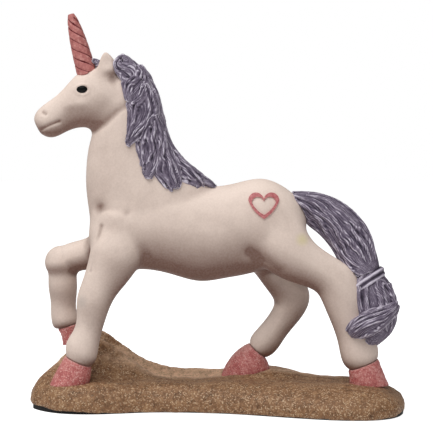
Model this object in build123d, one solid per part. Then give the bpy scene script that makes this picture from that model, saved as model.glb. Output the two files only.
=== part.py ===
from build123d import *
from math import atan2, cos, degrees, radians, sin, sqrt
from typing import NamedTuple
import os

# Unicorn figurine: a hand-painted cast ornament on modelled ground, glued up from separate mouldings.
# Frame: +Z up, +X from the head towards the tail, and -Y is the animal's own left side.
# The origin lies on the table under the middle of the ground. Every size is in millimetres.

# Ground casting and its sole
BASE_LENGTH = 140.0
BASE_DEPTH = 56.0
GROUND_HEIGHT = 10.5
SOLE_THICKNESS = 2.0
SOLE_INSET = 1.6
RIM_GAP = 0.3

# Torso
TORSO_LENGTH = 81.5
TORSO_HEIGHT = 36.0
TORSO_WIDTH = 25.0
TORSO_LIFT = 54.6
TORSO_FRONT = 48.0

# Neck
NECK_LENGTH = 50.0
NECK_DEPTH = 33.0
NECK_WIDTH = 17.0
NECK_LEAN = 12.3

# Head
HEAD_LENGTH = 35.2
HEAD_DEPTH = 23.0
HEAD_WIDTH = 13.5
HEAD_DIP = 25.6

# Ears
EAR_LENGTH = 8.6
EAR_BREADTH = 7.4
EAR_THICKNESS = 3.6
EAR_WALL = 0.9
EAR_SPACING = 8.0
EAR_LEAN = 4.0

# Eyes
EYE_LENGTH = 4.2
EYE_HEIGHT = 2.9
EYE_THICKNESS = 1.8

# Horn
HORN_LENGTH = 21.6
HORN_RADIUS = 3.9
HORN_LEAN = 14.8
HORN_TURN = 14.4
HORN_GROOVES = 4
HORN_GROOVE_DEPTH = 0.45
HORN_GROOVE_WIDTH = 0.9
HORN_SEAT = 4.0

# Legs and hooves
FORELEG_DEPTH = 10.5
FORELEG_WIDTH = 9.6
HINDLEG_DEPTH = 12.6
HINDLEG_WIDTH = 10.0
LEG_TRACK = 18.0
HOOF_HEIGHT = 9.0
HOOF_SPREAD = 14.6
HOOF_WIDTH = 12.4
HOOF_SINK = 1.4
RAISED_HOOF_LIFT = 13.6
SHIN_LENGTH = 24.5
KNEE_FORWARD = 2.5
KNEE_SHARE = 0.60

# Mane and forelock
MANE_BREADTH = 8.0
MANE_THICKNESS = 4.4
CREST_WIDTH = 11.0
CREST_THICKNESS = 5.6
FORELOCK_BREADTH = 3.4
FORELOCK_THICKNESS = 5.0

# Tail
TAIL_DEPTH = 14.4
TAIL_WIDTH = 12.0
TAIL_DROP = 51.0
TAIL_BEHIND_HOOF = 3.2
TAIL_SWING = 10.0
TAIL_TIE_THICKNESS = 2.6
TAIL_TIE_WIDTH = 4.4
TAIL_CURL_BREADTH = 8.5

# Heart in relief
HEART_WIDTH = 11.4
HEART_HEIGHT = 9.6
HEART_BAND = 1.25
HEART_RELIEF = 0.5

# Steel pins in the glued joints
PIN_RADIUS = 0.8
PIN_CLEARANCE = 0.05
FOOT_PIN_LENGTH = 19.0
DOWEL_LENGTH = 14.0
HORN_PIN_LENGTH = 11.0


class Station(NamedTuple):
    """One oval section of a limb, in shares of the limb's own sizes."""
    along_share: float
    forward_share: float
    depth_share: float
    width_share: float


def point(x, y, z):
    return Vector(x, y, z)


def slope(angle):
    """The downward direction in the side view that leans forward by an angle."""
    return Vector(-sin(radians(angle)), 0, -cos(radians(angle)))


def oval(centre, normal, depth, width):
    """An oval across a limb: its width runs along Y and its depth lies in the side view."""
    return Plane(origin=centre, x_dir=(0, 1, 0), z_dir=normal) * Ellipse(width / 2, depth / 2)


def path_normals(centres, last=None):
    """The direction of a path at each of its centres, in the side view."""
    normals = []
    for i in range(len(centres)):
        step = centres[min(i + 1, len(centres) - 1)] - centres[max(i - 1, 0)]
        normals.append(Vector(step.X, 0, step.Z).normalized())
    if last is not None:
        normals[-1] = last
    return normals


def limb_centres(top, bottom, stations):
    """Centres of a limb's sections: along the line from top to bottom and set forward from it."""
    run = bottom - top
    forward = Vector(run.Z, 0, -run.X)
    return [top + run * s.along_share + forward * s.forward_share for s in stations]


def limb(top, bottom, stations, depth, width, last=None):
    """A limb that swells and tapers, lofted through ovals."""
    centres = limb_centres(top, bottom, stations)
    normals = path_normals(centres, last)
    return loft([
        oval(c, n, depth * s.depth_share, width * s.width_share)
        for c, n, s in zip(centres, normals, stations)
    ])


def lock(centres, breadth_shares, breadth, thickness):
    """A lock of hair along a path: its breadth lies in the side view and its thickness runs along Y."""
    return loft([
        oval(c, n, breadth * share, thickness * sqrt(share))
        for c, n, share in zip(centres, path_normals(centres), breadth_shares)
    ])


def read_between(stations, along_share, column):
    """A column of a station table, read in line between its rows."""
    for low, high in zip(stations, stations[1:]):
        if along_share <= high.along_share:
            break
    part = (along_share - low.along_share) / (high.along_share - low.along_share)
    return getattr(low, column) * (1 - part) + getattr(high, column) * part


def boxes_meet(a, b):
    """Whether two pieces' bounding boxes overlap."""
    one, other = a.bounding_box(), b.bounding_box()
    return all(
        low < high
        for low, high in zip((*one.min, *other.min), (*other.max, *one.max))
    )


def cut(piece, *neighbours):
    """A piece cut to seat on its neighbours. Of what is left, the largest solid is the piece."""
    for neighbour in neighbours:
        if boxes_meet(piece, neighbour):
            piece = piece - neighbour
    return piece.solids().sort_by(SortBy.VOLUME)[-1]


def round_bar(start, direction, length, radius):
    return extrude(Plane(origin=start, z_dir=direction) * Circle(radius), length)


def pin(start, direction, length):
    return round_bar(start, direction, length, PIN_RADIUS)


def pin_hole(start, direction, length):
    """The cutter for a pin's glued hole."""
    way = direction.normalized()
    return round_bar(start - way * PIN_CLEARANCE, way, length + 2 * PIN_CLEARANCE, PIN_RADIUS + PIN_CLEARANCE)


# Ground sections along its length: half depths, and heights at the near edge, crown and far edge
class GroundSection(NamedTuple):
    along_share: float
    near_share: float
    far_share: float
    near_height_share: float
    crown_height_share: float
    far_height_share: float
    rim_lift_share: float


ground_shares = [
    GroundSection(0.000, 0.17, 0.22, 0.20, 0.30, 0.20, 0.85),
    GroundSection(0.015, 0.36, 0.50, 0.42, 0.70, 0.45, 0.80),
    GroundSection(0.045, 0.54, 0.76, 0.62, 1.10, 0.80, 0.70),
    GroundSection(0.090, 0.68, 0.94, 0.84, 1.72, 1.20, 0.50),
    GroundSection(0.150, 0.74, 1.02, 0.90, 2.32, 1.65, 0.35),
    GroundSection(0.210, 0.72, 1.02, 0.90, 2.02, 1.46, 0.15),
    GroundSection(0.270, 0.66, 0.98, 0.88, 1.48, 1.10, 0.00),
    GroundSection(0.330, 0.61, 0.91, 0.88, 0.96, 0.80, 0.00),
    GroundSection(0.420, 0.62, 0.84, 0.90, 0.86, 0.70, 0.00),
    GroundSection(0.520, 0.69, 0.79, 0.90, 0.95, 0.80, 0.00),
    GroundSection(0.620, 0.84, 0.73, 0.90, 1.20, 1.06, 0.00),
    GroundSection(0.720, 1.01, 0.65, 0.90, 1.06, 0.96, 0.00),
    GroundSection(0.820, 1.13, 0.57, 0.88, 0.92, 0.80, 0.00),
    GroundSection(0.900, 1.12, 0.48, 0.84, 0.90, 0.74, 0.00),
    GroundSection(0.950, 0.99, 0.38, 0.64, 0.70, 0.56, 0.18),
    GroundSection(0.985, 0.67, 0.26, 0.36, 0.44, 0.34, 0.30),
    GroundSection(1.000, 0.30, 0.12, 0.16, 0.22, 0.16, 0.35),
]
NEAR_SHOULDER_SHARE = 0.74
MIDDLE_SHARE = 0.16
MIDDLE_HEIGHT_SHARE = 0.98
CROWN_SHARE = 0.33
FAR_SHOULDER_SHARE = 0.80
half_depth = BASE_DEPTH / 2


def ground_x(along_share):
    return BASE_LENGTH * (along_share - 0.5)


def ground_section(s):
    """A flat-bottomed section that stands across the ground. Only its far half rises to the mound."""
    x = ground_x(s.along_share)
    near = -half_depth * s.near_share
    far = half_depth * s.far_share
    rim = RIM_GAP + (SOLE_THICKNESS - RIM_GAP) * s.rim_lift_share
    rise = GROUND_HEIGHT - RIM_GAP
    middle_share = min(s.crown_height_share, MIDDLE_HEIGHT_SHARE)
    skin = Spline(
        point(x, near, rim),
        point(x, near * NEAR_SHOULDER_SHARE, rim + rise * s.near_height_share),
        point(x, near * MIDDLE_SHARE, rim + rise * middle_share),
        point(x, far * CROWN_SHARE, rim + rise * s.crown_height_share),
        point(x, far * FAR_SHOULDER_SHARE, rim + rise * s.far_height_share),
        point(x, far, rim),
        tangents=((0, -0.2, 1), (0, -0.2, -1)),
    )
    floor = Line(point(x, far, rim), point(x, near, rim))
    return make_face(skin + floor)


def make_ground():
    return loft([ground_section(s) for s in ground_shares])


def make_sole():
    """The black sheet under the ground, cut a little inside its outline."""
    inner = ground_shares[1:-1]
    near_side = [point(ground_x(s.along_share), SOLE_INSET - half_depth * s.near_share, 0) for s in inner]
    far_side = [point(ground_x(s.along_share), half_depth * s.far_share - SOLE_INSET, 0) for s in inner]
    head_end = point(ground_x(0) + SOLE_INSET, 0, 0)
    tail_end = point(ground_x(1) - SOLE_INSET, 0, 0)
    outline = Spline(*near_side, tail_end, *reversed(far_side), head_end, periodic=True)
    return extrude(make_face(outline), SOLE_THICKNESS)


# Torso sections from the chest back to the rump
torso_shares = [
    Station(0.000, -0.03, 0.19, 0.30),
    Station(0.023, -0.02, 0.43, 0.52),
    Station(0.074, 0.00, 0.63, 0.72),
    Station(0.166, 0.02, 0.80, 0.86),
    Station(0.28, 0.06, 0.90, 0.92),
    Station(0.40, 0.035, 0.97, 0.97),
    Station(0.51, -0.01, 0.995, 1.00),
    Station(0.63, 0.01, 0.97, 0.98),
    Station(0.72, 0.05, 0.98, 0.96),
    Station(0.80, 0.085, 0.95, 0.96),
    Station(0.87, 0.10, 0.82, 0.90),
    Station(0.93, 0.105, 0.63, 0.76),
    Station(0.972, 0.10, 0.42, 0.55),
    Station(1.000, 0.09, 0.20, 0.28),
]


def torso_point(along_share, rise_share=0.0, side_share=0.0):
    """A place in the torso, in shares of its length from the chest, its height and its width."""
    x = TORSO_LENGTH * along_share - TORSO_FRONT
    return point(x, TORSO_WIDTH * side_share, GROUND_HEIGHT + TORSO_LIFT + TORSO_HEIGHT * rise_share)


def make_torso(swell=0.0):
    """The trunk. Swollen by a relief, it is the envelope of what stands proud of its skin."""
    sections = []
    for s in torso_shares:
        depth = TORSO_HEIGHT * s.depth_share + 2 * swell
        width = TORSO_WIDTH * s.width_share + 2 * swell
        sections.append(oval(torso_point(s.along_share, s.forward_share), Vector(1, 0, 0), depth, width))
    return loft(sections)


# Neck sections from inside the chest up to the poll
neck_shares = [
    Station(0.00, 0.000, 1.42, 1.20),
    Station(0.20, 0.041, 1.20, 1.12),
    Station(0.37, 0.077, 1.00, 1.00),
    Station(0.55, 0.064, 0.915, 0.90),
    Station(0.71, 0.037, 0.83, 0.82),
    Station(0.86, 0.008, 0.71, 0.74),
    Station(1.00, 0.000, 0.50, 0.60),
]
NECK_TILTS = [25.0, 18.0, 17.0, 22.0, 27.0, 36.0, 50.0]
neck_tilt_rows = [Station(s.along_share, tilt, 0, 0) for s, tilt in zip(neck_shares, NECK_TILTS)]
neck_base = torso_point(0.275, 0.21)
neck_top = neck_base - slope(-NECK_LEAN) * NECK_LENGTH


def neck_centre(along_share):
    run = neck_top - neck_base
    forward = Vector(-run.Z, 0, run.X)
    return neck_base + run * along_share + forward * read_between(neck_shares, along_share, "forward_share")


def neck_skin(along_share, across_share, side=0, sunk=0.0):
    """A place on the neck's skin. Across runs from -1 at the throat to 1 at the crest."""
    depth = NECK_DEPTH * read_between(neck_shares, along_share, "depth_share")
    width = NECK_WIDTH * read_between(neck_shares, along_share, "width_share")
    tilt = radians(read_between(neck_tilt_rows, along_share, "forward_share"))
    bulge = width / 2 * sqrt(max(0.0, 1 - across_share ** 2)) - sunk
    across = Vector(cos(tilt), 0, sin(tilt)) * (depth / 2 * across_share)
    return neck_centre(along_share) + across + Vector(0, side * bulge, 0)


def make_neck():
    sections = []
    for s, tilt in zip(neck_shares, NECK_TILTS):
        normal = Vector(-sin(radians(tilt)), 0, cos(radians(tilt)))
        depth, width = NECK_DEPTH * s.depth_share, NECK_WIDTH * s.width_share
        sections.append(oval(neck_centre(s.along_share), normal, depth, width))
    return loft(sections)


# Head sections from the poll down to the muzzle
head_shares = [
    Station(0.00, -0.026, 0.36, 0.60),
    Station(0.12, -0.052, 0.79, 0.88),
    Station(0.29, -0.056, 0.99, 1.00),
    Station(0.445, -0.042, 0.87, 0.95),
    Station(0.605, -0.038, 0.66, 0.78),
    Station(0.76, -0.046, 0.57, 0.66),
    Station(0.88, -0.056, 0.53, 0.68),
    Station(0.958, -0.054, 0.41, 0.56),
    Station(1.00, -0.052, 0.19, 0.28),
]
head_axis = Vector(-cos(radians(HEAD_DIP)), 0, -sin(radians(HEAD_DIP)))
head_up = Vector(-sin(radians(HEAD_DIP)), 0, cos(radians(HEAD_DIP)))


def head_point(along_share, across_share=0.0, side=0, sunk=0.0):
    """A place in the head. Across runs from -1 at the jaw to 1 at the brow. Side 0 is its middle plane."""
    depth = HEAD_DEPTH * read_between(head_shares, along_share, "depth_share")
    width = HEAD_WIDTH * read_between(head_shares, along_share, "width_share")
    rise = HEAD_LENGTH * read_between(head_shares, along_share, "forward_share") + depth / 2 * across_share
    bulge = width / 2 * sqrt(max(0.0, 1 - across_share ** 2)) - sunk
    place = neck_centre(1.0) + head_axis * (HEAD_LENGTH * along_share) + head_up * rise
    return place + Vector(0, side * bulge, 0)


def make_head():
    return loft([
        oval(head_point(s.along_share), head_axis, HEAD_DEPTH * s.depth_share, HEAD_WIDTH * s.width_share)
        for s in head_shares
    ])


def make_eye(side):
    """A bead, longer than it is high, let into the head."""
    place = head_point(0.385, 0.44, side, sunk=EYE_THICKNESS * 0.2)
    return Pos(*place) * scale(Sphere(1), by=(EYE_LENGTH / 2, EYE_THICKNESS / 2, EYE_HEIGHT / 2))


# Ear sections from root to tip
ear_shares = [
    Station(0.00, 0.00, 0.86, 0.95),
    Station(0.30, 0.00, 1.00, 1.00),
    Station(0.62, 0.00, 0.80, 0.80),
    Station(0.85, 0.00, 0.48, 0.56),
    Station(1.00, 0.00, 0.16, 0.30),
]


def make_ear(side):
    """A pointed leaf, hollowed on its outer side."""
    root = head_point(0.085, 0.72) + Vector(0, side * EAR_SPACING / 2, 0)
    up = -slope(-EAR_LEAN)
    leaf = limb(root, root + up * EAR_LENGTH, ear_shares, EAR_BREADTH, EAR_THICKNESS)
    cup_root = root + up * (EAR_LENGTH * 0.34) + Vector(0, side * EAR_THICKNESS * 0.55, 0)
    cup_tip = cup_root + up * (EAR_LENGTH * 0.56)
    cup = limb(cup_root, cup_tip, ear_shares, EAR_BREADTH - 3 * EAR_WALL, EAR_THICKNESS - EAR_WALL)
    return leaf - cup


horn_up = -slope(-HORN_LEAN)
horn_root = head_point(0.272, 1.0) - horn_up * HORN_SEAT


# The horn's outline, as shares of its radius and of its height from the seat
horn_outline_shares = [(1.00, 0.00), (0.93, 0.27), (0.83, 0.55), (0.64, 0.80), (0.46, 0.93), (0.28, 1.00)]
GROOVE_PLACES = 15


def make_horn():
    """A blunt, slightly swollen cone, carved with four left-handed spiral grooves that run side by side."""
    height = HORN_LENGTH + HORN_SEAT
    outline = [(HORN_RADIUS * across, height * up) for across, up in horn_outline_shares]
    side = Spline(*outline)
    face = make_face(Polyline((0, height), (0, 0), outline[0]) + side + Line(outline[-1], (0, height)))
    horn = revolve(Plane.XZ * face, Axis.Z)
    places = [side @ (share / GROOVE_PLACES) for share in range(GROOVE_PLACES)]
    groove_path = Spline(*[
        Vector(place.X, 0, place.Y).rotate(Axis.Z, -360 * place.Y / HORN_TURN)
        for place in places
    ])
    notch = Polyline(
        (-HORN_GROOVE_DEPTH, 0),
        (HORN_GROOVE_DEPTH, HORN_GROOVE_WIDTH),
        (HORN_GROOVE_DEPTH, -HORN_GROOVE_WIDTH),
        close=True,
    )
    notch_plane = Plane(origin=groove_path @ 0, x_dir=(1, 0, 0), z_dir=groove_path % 0)
    groove = sweep(notch_plane * make_face(notch), path=groove_path, normal=(0, 0, 1))
    for number in range(HORN_GROOVES):
        horn = horn - Rot(0, 0, 360 / HORN_GROOVES * number) * groove
    return Pos(*horn_root) * Rot(0, -HORN_LEAN, 0) * horn


# Where each hoof stands and how its leg meets it, in shares of the ground's and the hoof's sizes
class Foot(NamedTuple):
    place_share: float
    side: int
    lift: float
    set_back_share: float
    joint_share: float
    spread_share: float
    leg_lean: float
    sole_lean: float


left_fore_foot = Foot(0.1086, -1, 0.0, 0.233, 0.967, 0.99, 23.5, 0.0)
right_fore_foot = Foot(0.1060, 1, RAISED_HOOF_LIFT, -0.116, 0.678, 0.60, -17.0, -22.8)
left_hind_foot = Foot(0.9030, -1, 0.0, -0.150, 0.844, 1.00, -21.8, 0.0)
right_hind_foot = Foot(0.5740, 1, 0.0, 0.345, 1.110, 1.22, 41.0, 0.0)


def sole_centre(foot):
    height = GROUND_HEIGHT - HOOF_SINK + foot.lift
    return point(ground_x(foot.place_share), LEG_TRACK / 2 * foot.side, height)


def foot_joint(foot):
    """Where a leg meets its hoof."""
    return sole_centre(foot) + Vector(HOOF_SPREAD * foot.set_back_share, 0, HOOF_HEIGHT * foot.joint_share)


def make_hoof(foot, leg_depth, leg_width):
    """A hoof, lofted from a coronet a little wider than its leg to a flat sole."""
    joint, sole = foot_joint(foot), sole_centre(foot)
    spread = HOOF_SPREAD * foot.spread_share
    width = HOOF_WIDTH * sqrt(foot.spread_share)
    middle_way = (slope(foot.leg_lean) + slope(foot.sole_lean)).normalized()
    return loft([
        oval(joint, slope(foot.leg_lean), leg_depth * 1.10, leg_width * 1.10),
        oval(joint * 0.55 + sole * 0.45, middle_way, spread * 0.86, width * 0.92),
        oval(sole, slope(foot.sole_lean), spread, width),
    ])


# Leg sections from inside the trunk down to the hoof
left_foreleg_shares = [
    Station(-0.130, 0.000, 1.15, 0.55),
    Station(0.000, 0.000, 1.52, 1.10),
    Station(0.178, -0.010, 1.84, 1.38),
    Station(0.341, 0.008, 1.60, 1.25),
    Station(0.467, 0.027, 1.32, 1.15),
    Station(0.578, 0.033, 1.21, 1.15),
    Station(0.695, 0.014, 1.01, 0.98),
    Station(0.802, 0.006, 0.985, 0.95),
    Station(0.911, 0.005, 1.16, 1.12),
    Station(1.000, 0.000, 0.91, 0.95),
]
right_forearm_shares = [
    Station(0.000, 0.000, 0.90, 0.60),
    Station(0.250, -0.033, 1.18, 1.10),
    Station(0.520, -0.060, 1.18, 1.22),
    Station(0.780, -0.020, 1.10, 1.16),
    Station(1.000, 0.000, 1.02, 1.08),
]
right_shin_shares = [
    Station(0.000, 0.000, 1.05, 1.06),
    Station(0.256, 0.010, 1.05, 1.02),
    Station(0.550, 0.034, 0.96, 0.95),
    Station(0.744, 0.052, 0.93, 0.95),
    Station(0.870, 0.048, 1.00, 1.05),
    Station(1.000, 0.000, 0.76, 0.88),
]
left_hindleg_shares = [
    Station(-0.130, 0.000, 1.20, 0.60),
    Station(0.000, 0.000, 1.65, 1.10),
    Station(0.153, 0.010, 1.70, 1.35),
    Station(0.292, -0.038, 1.34, 1.20),
    Station(0.405, -0.100, 1.16, 1.05),
    Station(0.510, -0.132, 1.24, 1.00),
    Station(0.618, -0.111, 1.18, 0.95),
    Station(0.734, -0.070, 1.00, 0.90),
    Station(0.857, -0.040, 1.06, 0.98),
    Station(0.936, -0.017, 1.12, 1.08),
    Station(1.000, 0.000, 0.86, 0.95),
]
right_hindleg_shares = [
    Station(-0.161, 0.068, 1.00, 0.60),
    Station(0.000, 0.000, 1.50, 1.15),
    Station(0.200, -0.086, 1.34, 1.35),
    Station(0.402, -0.196, 1.04, 1.20),
    Station(0.560, -0.285, 1.09, 1.05),
    Station(0.720, -0.218, 0.85, 0.95),
    Station(0.845, -0.126, 0.83, 0.95),
    Station(0.937, -0.054, 0.86, 1.00),
    Station(1.000, 0.000, 0.62, 0.90),
]


class Leg(NamedTuple):
    """A leg: where it starts in the trunk, where its limb ends, its foot, its sections and thicknesses."""
    root: Vector
    end: Vector
    foot: Foot
    stations: list
    depth: float
    width: float


raised_knee = foot_joint(right_fore_foot) + Vector(-KNEE_FORWARD, -LEG_TRACK * 0.09, SHIN_LENGTH)
legs = {
    "left_foreleg": Leg(torso_point(0.172, 0.089, -0.24), foot_joint(left_fore_foot), left_fore_foot,
                        left_foreleg_shares, FORELEG_DEPTH, FORELEG_WIDTH),
    "right_foreleg": Leg(torso_point(0.196, 0.028, 0.216), raised_knee, right_fore_foot,
                         right_forearm_shares, FORELEG_DEPTH, FORELEG_WIDTH),
    "left_hindleg": Leg(torso_point(0.839, 0.078, -0.24), foot_joint(left_hind_foot), left_hind_foot,
                        left_hindleg_shares, HINDLEG_DEPTH, HINDLEG_WIDTH),
    "right_hindleg": Leg(torso_point(0.780, -0.006, 0.24), foot_joint(right_hind_foot), right_hind_foot,
                         right_hindleg_shares, HINDLEG_DEPTH, HINDLEG_WIDTH),
}


def make_planted_leg(leg):
    return limb(leg.root, leg.end, leg.stations, leg.depth, leg.width, slope(leg.foot.leg_lean))


def make_raised_leg(leg):
    """The raised foreleg, in one with its bent knee: a forearm, a knee and a shin."""
    forearm = limb(leg.root, leg.end, leg.stations, leg.depth, leg.width)
    knee_radius, knee_half_width = leg.depth * KNEE_SHARE, leg.width * KNEE_SHARE
    knee = Pos(*leg.end) * scale(Sphere(1), by=(knee_radius, knee_half_width, knee_radius))
    joint, last = foot_joint(leg.foot), slope(leg.foot.leg_lean)
    shin = limb(leg.end, joint, right_shin_shares, leg.depth, leg.width, last)
    return forearm + shin + knee


def make_leg(leg):
    return make_raised_leg(leg) if leg.foot.lift else make_planted_leg(leg)


def make_leg_hoof(leg):
    end = right_shin_shares[-1] if leg.foot.lift else leg.stations[-1]
    return make_hoof(leg.foot, leg.depth * end.depth_share, leg.width * end.width_share)


# Mane locks on the neck's skin: places as shares along and across the neck, and breadth shares
class LockPath(NamedTuple):
    places_share: list
    breadth_shares: list


near_locks = {
    "mane_lock_poll": LockPath(
        [(1.15, 0.25), (1.07, 0.48), (0.99, 0.54), (0.90, 0.38)],
        [0.60, 0.92, 0.90, 0.34],
    ),
    "mane_lock_cheek": LockPath(
        [(1.00, 0.80), (0.92, 0.68), (0.86, 0.46), (0.81, 0.20)],
        [1.10, 1.25, 1.05, 0.38],
    ),
    "mane_lock_upper": LockPath(
        [(0.88, 0.68), (0.76, 0.62), (0.66, 0.54), (0.59, 0.32), (0.50, 0.10)],
        [1.25, 1.50, 1.30, 0.86, 0.30],
    ),
    "mane_lock_middle": LockPath(
        [(0.71, 0.68), (0.56, 0.62), (0.44, 0.60), (0.34, 0.46), (0.23, 0.28)],
        [1.20, 1.45, 1.30, 0.94, 0.32],
    ),
    "mane_lock_lower": LockPath(
        [(0.54, 0.76), (0.40, 0.72), (0.27, 0.68), (0.16, 0.62), (0.07, 0.56)],
        [1.10, 1.30, 1.26, 1.00, 0.44],
    ),
    "mane_lock_withers": LockPath(
        [(0.36, 0.86), (0.22, 0.86), (0.09, 0.90), (-0.07, 1.02)],
        [1.00, 1.20, 1.10, 0.56],
    ),
}
far_locks = {
    "mane_far_upper": LockPath(
        [(0.98, 0.70), (0.88, 0.64), (0.78, 0.42), (0.66, 0.12)],
        [1.30, 1.60, 1.30, 0.40],
    ),
    "mane_far_middle": LockPath(
        [(0.74, 0.68), (0.60, 0.64), (0.48, 0.48), (0.36, 0.22)],
        [1.40, 1.65, 1.40, 0.40],
    ),
    "mane_far_lower": LockPath(
        [(0.48, 0.74), (0.36, 0.70), (0.24, 0.62), (0.09, 0.50)],
        [1.30, 1.55, 1.30, 0.40],
    ),
}


def make_mane_lock(path, side):
    centres = [neck_skin(along, across, side) for along, across in path.places_share]
    return lock(centres, path.breadth_shares, MANE_BREADTH, MANE_THICKNESS)


# The strand along the top of the neck, in the same shares
crest_path = LockPath(
    [
        (1.15, 0.60), (1.07, 0.74), (0.97, 0.83), (0.85, 0.90), (0.68, 0.93), (0.54, 0.92),
        (0.41, 0.96), (0.27, 0.99), (0.13, 1.02), (0.02, 1.06), (-0.08, 1.07),
    ],
    [0.50, 0.85, 1.00, 1.00, 1.00, 1.00, 1.00, 0.94, 0.90, 0.80, 0.40],
)


def make_crest():
    centres = [neck_skin(along, across) for along, across in crest_path.places_share]
    return lock(centres, crest_path.breadth_shares, CREST_THICKNESS, CREST_WIDTH)


def make_forelock():
    """The tuft between the ears that falls against the back of the horn."""
    centres = [
        head_point(along, across)
        for along, across in [(0.00, 0.60), (0.10, 1.20), (0.20, 1.30), (0.28, 1.06)]
    ]
    return lock(centres, [0.90, 1.00, 0.80, 0.40], FORELOCK_BREADTH, FORELOCK_THICKNESS)


# The tail's path, in shares of its reach to behind the near hind hoof, its drop and its swing, with its thickness
class TailPlace(NamedTuple):
    reach_share: float
    drop_share: float
    swing_share: float
    thickness_share: float


tail_upper_shares = [
    TailPlace(-0.10, -0.04, 0.00, 0.50),
    TailPlace(0.22, 0.012, 0.02, 0.86),
    TailPlace(0.46, 0.092, 0.08, 1.00),
    TailPlace(0.66, 0.222, 0.20, 1.03),
    TailPlace(0.77, 0.356, 0.36, 1.00),
    TailPlace(0.84, 0.48, 0.52, 0.90),
]
tail_lower_shares = [
    TailPlace(0.82, 0.46, 0.50, 0.84),
    TailPlace(0.92, 0.60, 0.68, 1.06),
    TailPlace(0.98, 0.73, 0.84, 1.05),
    TailPlace(0.98, 0.84, 0.94, 0.90),
    TailPlace(0.90, 0.94, 1.00, 0.62),
    TailPlace(0.86, 0.985, 1.02, 0.22),
]
tail_curl_shares = [
    TailPlace(1.25, 0.69, 0.95, 0.26),
    TailPlace(1.11, 0.74, 1.25, 0.66),
    TailPlace(0.96, 0.79, 1.45, 0.90),
    TailPlace(0.80, 0.84, 1.48, 1.00),
    TailPlace(0.69, 0.88, 1.36, 0.84),
    TailPlace(0.62, 0.91, 1.24, 0.36),
]
tail_root = torso_point(0.952, 0.264)
tail_reach = sole_centre(left_hind_foot).X + TAIL_BEHIND_HOOF - tail_root.X
tail_tie_place = TailPlace(0.865, 0.53, 0.58, 0.96)


def tail_point(place):
    reach, drop = tail_reach * place.reach_share, TAIL_DROP * place.drop_share
    return tail_root + Vector(reach, -TAIL_SWING * place.swing_share, -drop)


def make_tail_part(places, breadth=TAIL_DEPTH, thickness=TAIL_WIDTH):
    centres = [tail_point(place) for place in places]
    return lock(centres, [place.thickness_share for place in places], breadth, thickness)


def make_tail_tie():
    """The flat strand that binds the tail: a ring round it, tilted and pressed into the hair."""
    share = tail_tie_place.thickness_share
    ring = Torus((TAIL_DEPTH * share - TAIL_TIE_THICKNESS / 3) / 2, TAIL_TIE_THICKNESS / 2)
    ring = scale(ring, by=(1, TAIL_WIDTH / TAIL_DEPTH, TAIL_TIE_WIDTH / TAIL_TIE_THICKNESS))
    return Pos(*tail_point(tail_tie_place)) * Rot(0, -38, 0) * ring


def heart_outline(width, height):
    """A heart: two round lobes that meet in a notch above and in a point below."""
    notch, crown = (0, height * 0.24), (width * 0.26, height * 0.50)
    shoulder, flank, tip = (width * 0.50, height * 0.20), (width * 0.30, -height * 0.20), (0, -height * 0.50)
    right = ThreePointArc(notch, crown, shoulder) + ThreePointArc(shoulder, flank, tip)
    return make_face(right + mirror(right, Plane.YZ))


def make_heart(torso):
    """A heart-shaped band in relief on the left of the rump."""
    band = heart_outline(HEART_WIDTH, HEART_HEIGHT)
    band = band - heart_outline(HEART_WIDTH - 2 * HEART_BAND, HEART_HEIGHT - 2.4 * HEART_BAND)
    centre = torso_point(0.80, 0.292)
    plane = Plane(origin=centre, x_dir=(1, 0, 0), z_dir=(0, -1, 0))
    return (extrude(plane * band, TORSO_WIDTH) & make_torso(HEART_RELIEF)) - torso


# Pins: where each starts, which way it runs, how long it is and which mouldings it joins
class PinLine(NamedTuple):
    start: Vector
    way: Vector
    length: float
    joined: list


# Where each leg leaves the trunk, as a share of its length
LEG_EXIT_SHARES = {"left_foreleg": 0.33, "right_foreleg": 0.50, "left_hindleg": 0.21, "right_hindleg": 0.27}
DOWEL_REACH_SHARE = 0.06


def leg_dowel(name, exit_share):
    """A dowel lies along a leg's own path, half in the trunk and half in the leg."""
    leg = legs[name]
    nearby = [
        Station(share, read_between(leg.stations, share, "forward_share"), 0, 0)
        for share in (exit_share - DOWEL_REACH_SHARE, exit_share, exit_share + DOWEL_REACH_SHARE)
    ]
    before, middle, after = limb_centres(leg.root, leg.end, nearby)
    way = (after - before).normalized()
    return PinLine(middle - way * (DOWEL_LENGTH / 2), way, DOWEL_LENGTH, ["torso", name])


def foot_pin(name):
    """A foot pin starts in the leg, crosses the hoof and ends in the ground."""
    foot = legs[name].foot
    way = (sole_centre(foot) - foot_joint(foot)).normalized()
    start = foot_joint(foot) - way * (FOOT_PIN_LENGTH / 3)
    return PinLine(start, way, FOOT_PIN_LENGTH, [name, hoof_name(name), "ground_casting"])


def neck_dowel():
    return PinLine(neck_centre(0.02), neck_centre(0.30) - neck_centre(0.02), DOWEL_LENGTH, ["torso", "neck"])


def head_dowel():
    start = head_point(0.34, -0.10)
    return PinLine(start, neck_centre(0.78) - start, DOWEL_LENGTH, ["head", "neck"])


def horn_pin():
    start = horn_root + horn_up * (HORN_SEAT + HORN_PIN_LENGTH * 0.45)
    return PinLine(start, horn_up * -1, HORN_PIN_LENGTH, ["head", "horn"])


def tail_pin():
    first, third = tail_point(tail_upper_shares[0]), tail_point(tail_upper_shares[2])
    way = (third - first).normalized()
    return PinLine(first - way * (DOWEL_LENGTH / 4), way, DOWEL_LENGTH, ["torso", "tail_upper"])


def pin_lines():
    return {
        "leg_dowels": [leg_dowel(name, share) for name, share in LEG_EXIT_SHARES.items()],
        "foot_pins": [foot_pin(name) for name, leg in legs.items() if not leg.foot.lift],
        "neck_dowel": [neck_dowel()],
        "head_dowel": [head_dowel()],
        "horn_pin": [horn_pin()],
        "tail_pin": [tail_pin()],
    }


def hoof_name(leg_name):
    return leg_name.replace("leg", "hoof")


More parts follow.
